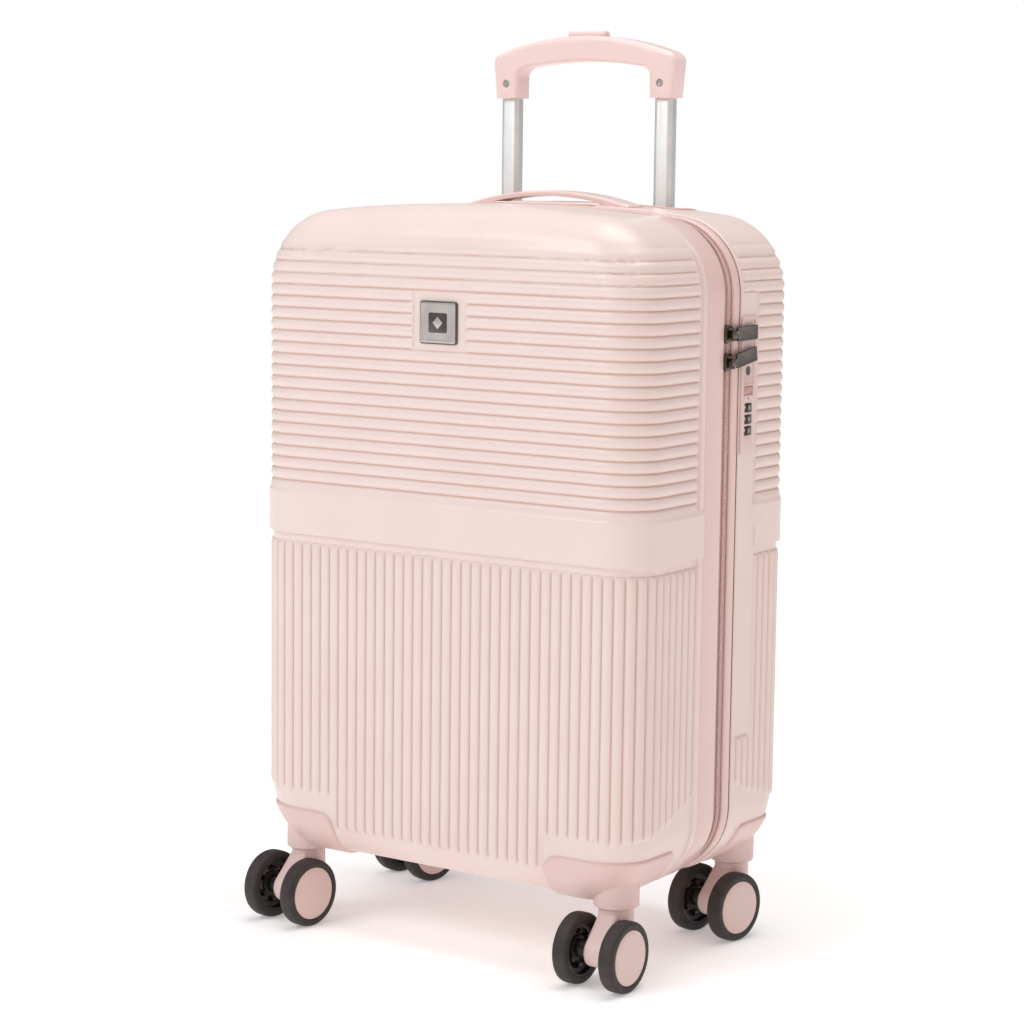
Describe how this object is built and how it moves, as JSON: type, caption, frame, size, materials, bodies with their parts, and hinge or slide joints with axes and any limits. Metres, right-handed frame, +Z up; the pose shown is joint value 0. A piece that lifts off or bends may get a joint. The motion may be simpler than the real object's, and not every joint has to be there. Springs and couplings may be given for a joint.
{
  "type": "hard shell cabin suitcase",
  "caption": "Upright hard shell cabin case with ribbed halves, zip and dial lock, telescopic pull handle, carry handle and twin-wheel swivel casters.",
  "frame": {"origin": "centre of the footprint at floor level, with the casters as drawn", "axes": "+Z up, -Y towards the front face that opens, +X towards the side with the zip pulls and the lock"},
  "size_m": [0.3636, 0.2499, 0.7016],
  "materials": {
    "shell_plastic": "moulded ABS, satin, horizontal and vertical ribs",
    "rim_plastic": "extruded trim, semi-gloss",
    "zip_fabric": "woven zip tape with coil teeth",
    "lining_fabric": "woven polyester lining",
    "caster_plastic": "moulded polypropylene, satin",
    "cap_plastic": "moulded cap, satin",
    "tyre_rubber": "soft tyre bonded to a black core",
    "steel": "plated steel",
    "tube_aluminium": "drawn and anodised tube",
    "grip_plastic": "moulded, soft satin",
    "inner_plastic": "moulded, hidden",
    "screw_steel": "plated screws and plug",
    "badge_metal": "brushed plate with an enamelled ring",
    "dial_plastic": "black dials with white ticks",
    "button_plastic": "deep pink moulded",
    "lock_plastic": "moulded, satin",
    "zip_metal": "dark plated zinc"
  },
  "bodies": {
    "rear_case": {"rear_shell": "shell_plastic", "rear_rim": "rim_plastic", "rear_zip_tape": "zip_fabric", "hinge_tape": "zip_fabric", "rear_lining": "lining_fabric", "lock_housing": "lock_plastic", "handle_outer_tubes": "tube_aluminium", "handle_well": "grip_plastic", "handle_base": "inner_plastic", "carry_handle": "grip_plastic", "caster_housing_rear_left": "caster_plastic", "caster_housing_rear_right": "caster_plastic", "rear_kingpins": "steel"},
    "lid": {"front_shell": "shell_plastic", "front_rim": "rim_plastic", "front_zip_tape": "zip_fabric", "front_lining": "lining_fabric", "badge": "badge_metal", "caster_housing_front_left": "caster_plastic", "caster_housing_front_right": "caster_plastic", "front_kingpins": "steel"},
    "handle_middle": {"handle_middle_tubes": "tube_aluminium"},
    "handle_inner": {"handle_inner_tubes": "tube_aluminium", "grip": "grip_plastic", "grip_screws": "screw_steel"},
    "grip_button": {"grip_button": "grip_plastic"},
    "zip_slider_upper": {"zip_slider_upper": "zip_metal"},
    "zip_slider_lower": {"zip_slider_lower": "zip_metal"},
    "zip_pull_upper": {"zip_pull_upper": "zip_metal"},
    "zip_pull_lower": {"zip_pull_lower": "zip_metal"},
    "lock_dial_1": {"lock_dial_1": "dial_plastic"},
    "lock_dial_2": {"lock_dial_2": "dial_plastic"},
    "lock_dial_3": {"lock_dial_3": "dial_plastic"},
    "key_cylinder": {"key_cylinder": "screw_steel"},
    "lock_release_button": {"lock_release_button": "button_plastic"},
    "fork_front_left": {"caster_fork_front_left": "caster_plastic", "caster_axle_front_left": "steel"},
    "wheel_front_left_outer": {"wheel_front_left_outer": "tyre_rubber", "wheel_cap_front_left_outer": "cap_plastic"},
    "wheel_front_left_inner": {"wheel_front_left_inner": "tyre_rubber", "wheel_cap_front_left_inner": "cap_plastic"},
    "fork_front_right": {"caster_fork_front_right": "caster_plastic", "caster_axle_front_right": "steel"},
    "wheel_front_right_outer": {"wheel_front_right_outer": "tyre_rubber", "wheel_cap_front_right_outer": "cap_plastic"},
    "wheel_front_right_inner": {"wheel_front_right_inner": "tyre_rubber", "wheel_cap_front_right_inner": "cap_plastic"},
    "fork_rear_left": {"caster_fork_rear_left": "caster_plastic", "caster_axle_rear_left": "steel"},
    "wheel_rear_left_outer": {"wheel_rear_left_outer": "tyre_rubber", "wheel_cap_rear_left_outer": "cap_plastic"},
    "wheel_rear_left_inner": {"wheel_rear_left_inner": "tyre_rubber", "wheel_cap_rear_left_inner": "cap_plastic"},
    "fork_rear_right": {"caster_fork_rear_right": "caster_plastic", "caster_axle_rear_right": "steel"},
    "wheel_rear_right_outer": {"wheel_rear_right_outer": "tyre_rubber", "wheel_cap_rear_right_outer": "cap_plastic"},
    "wheel_rear_right_inner": {"wheel_rear_right_inner": "tyre_rubber", "wheel_cap_rear_right_inner": "cap_plastic"}
  },
  "joints": [
    {"name": "lid_hinge", "type": "hinge", "parent": "rear_case", "child": "lid", "pos_m": [-0.1793, 0.0169, 0.315], "axis": [0, 0, -1], "range_deg": [0, 180]},
    {"name": "handle_lower_stage", "type": "slide", "parent": "rear_case", "child": "handle_middle", "axis": [0, 0, 1], "range_m": [0, 0.23]},
    {"name": "handle_upper_stage", "type": "slide", "parent": "handle_middle", "child": "handle_inner", "axis": [0, 0, 1], "range_m": [-0.13, 0.11]},
    {"name": "grip_button_press", "type": "slide", "parent": "handle_inner", "child": "grip_button", "axis": [0, 0, -1], "range_m": [0, 0.003], "stiffness_N_per_m": 800, "springref_m": -0.002},
    {"name": "upper_slider_run", "type": "slide", "parent": "rear_case", "child": "zip_slider_upper", "axis": [0, 0, 1], "range_m": [0, 0.02]},
    {"name": "lower_slider_run", "type": "slide", "parent": "rear_case", "child": "zip_slider_lower", "axis": [0, 0, -1], "range_m": [0, 0.33]},
    {"name": "upper_pull_hinge", "type": "hinge", "parent": "zip_slider_upper", "child": "zip_pull_upper", "pos_m": [0.1806, 0.0169, 0.475], "axis": [0, 0, -1], "range_deg": [0, 180]},
    {"name": "lower_pull_hinge", "type": "hinge", "parent": "zip_slider_lower", "child": "zip_pull_lower", "pos_m": [0.1806, 0.0169, 0.4544], "axis": [0, 0, -1], "range_deg": [0, 180]},
    {"name": "key_turn", "type": "hinge", "parent": "rear_case", "child": "key_cylinder", "pos_m": [0.1777, 0.0439, 0.4467], "axis": [1, 0, 0], "range_deg": [0, 90]},
    {"name": "lock_button_slide", "type": "slide", "parent": "rear_case", "child": "lock_release_button", "axis": [0, 0, -1], "range_m": [0, 0.0025], "stiffness_N_per_m": 150, "springref_m": -0.002},
    {"name": "dial_1_turn", "type": "hinge", "parent": "rear_case", "child": "lock_dial_1", "pos_m": [0.1715, 0.0439, 0.419], "axis": [0, 0, 1], "continuous": true},
    {"name": "dial_2_turn", "type": "hinge", "parent": "rear_case", "child": "lock_dial_2", "pos_m": [0.1715, 0.0439, 0.4104], "axis": [0, 0, 1], "continuous": true},
    {"name": "dial_3_turn", "type": "hinge", "parent": "rear_case", "child": "lock_dial_3", "pos_m": [0.1715, 0.0439, 0.4018], "axis": [0, 0, 1], "continuous": true},
    {"name": "swivel_front_left", "type": "hinge", "parent": "lid", "child": "fork_front_left", "pos_m": [-0.1453, -0.0759, 0.0572], "axis": [0, 0, 1], "continuous": true},
    {"name": "spin_front_left_outer", "type": "hinge", "parent": "fork_front_left", "child": "wheel_front_left_outer", "pos_m": [-0.14745, -0.09639, 0.0266], "axis": [0.9945, -0.1045, 0], "continuous": true},
    {"name": "spin_front_left_inner", "type": "hinge", "parent": "fork_front_left", "child": "wheel_front_left_inner", "pos_m": [-0.14745, -0.09639, 0.0266], "axis": [0.9945, -0.1045, 0], "continuous": true},
    {"name": "swivel_front_right", "type": "hinge", "parent": "lid", "child": "fork_front_right", "pos_m": [0.1453, -0.0759, 0.0572], "axis": [0, 0, 1], "continuous": true},
    {"name": "spin_front_right_outer", "type": "hinge", "parent": "fork_front_right", "child": "wheel_front_right_outer", "pos_m": [0.1453, -0.0965, 0.0266], "axis": [1, 0, 0], "continuous": true},
    {"name": "spin_front_right_inner", "type": "hinge", "parent": "fork_front_right", "child": "wheel_front_right_inner", "pos_m": [0.1453, -0.0965, 0.0266], "axis": [1, 0, 0], "continuous": true},
    {"name": "swivel_rear_left", "type": "hinge", "parent": "rear_case", "child": "fork_rear_left", "pos_m": [-0.1453, 0.0931, 0.0572], "axis": [0, 0, 1], "continuous": true},
    {"name": "spin_rear_left_outer", "type": "hinge", "parent": "fork_rear_left", "child": "wheel_rear_left_outer", "pos_m": [-0.14993, 0.07303, 0.0266], "axis": [0.9744, -0.225, 0], "continuous": true},
    {"name": "spin_rear_left_inner", "type": "hinge", "parent": "fork_rear_left", "child": "wheel_rear_left_inner", "pos_m": [-0.14993, 0.07303, 0.0266], "axis": [0.9744, -0.225, 0], "continuous": true},
    {"name": "swivel_rear_right", "type": "hinge", "parent": "rear_case", "child": "fork_rear_right", "pos_m": [0.1453, 0.0931, 0.0572], "axis": [0, 0, 1], "continuous": true},
    {"name": "spin_rear_right_outer", "type": "hinge", "parent": "fork_rear_right", "child": "wheel_rear_right_outer", "pos_m": [0.1419, 0.07278, 0.0266], "axis": [0.9863, -0.165, 0], "continuous": true},
    {"name": "spin_rear_right_inner", "type": "hinge", "parent": "fork_rear_right", "child": "wheel_rear_right_inner", "pos_m": [0.1419, 0.07278, 0.0266], "axis": [0.9863, -0.165, 0], "continuous": true}
  ]
}
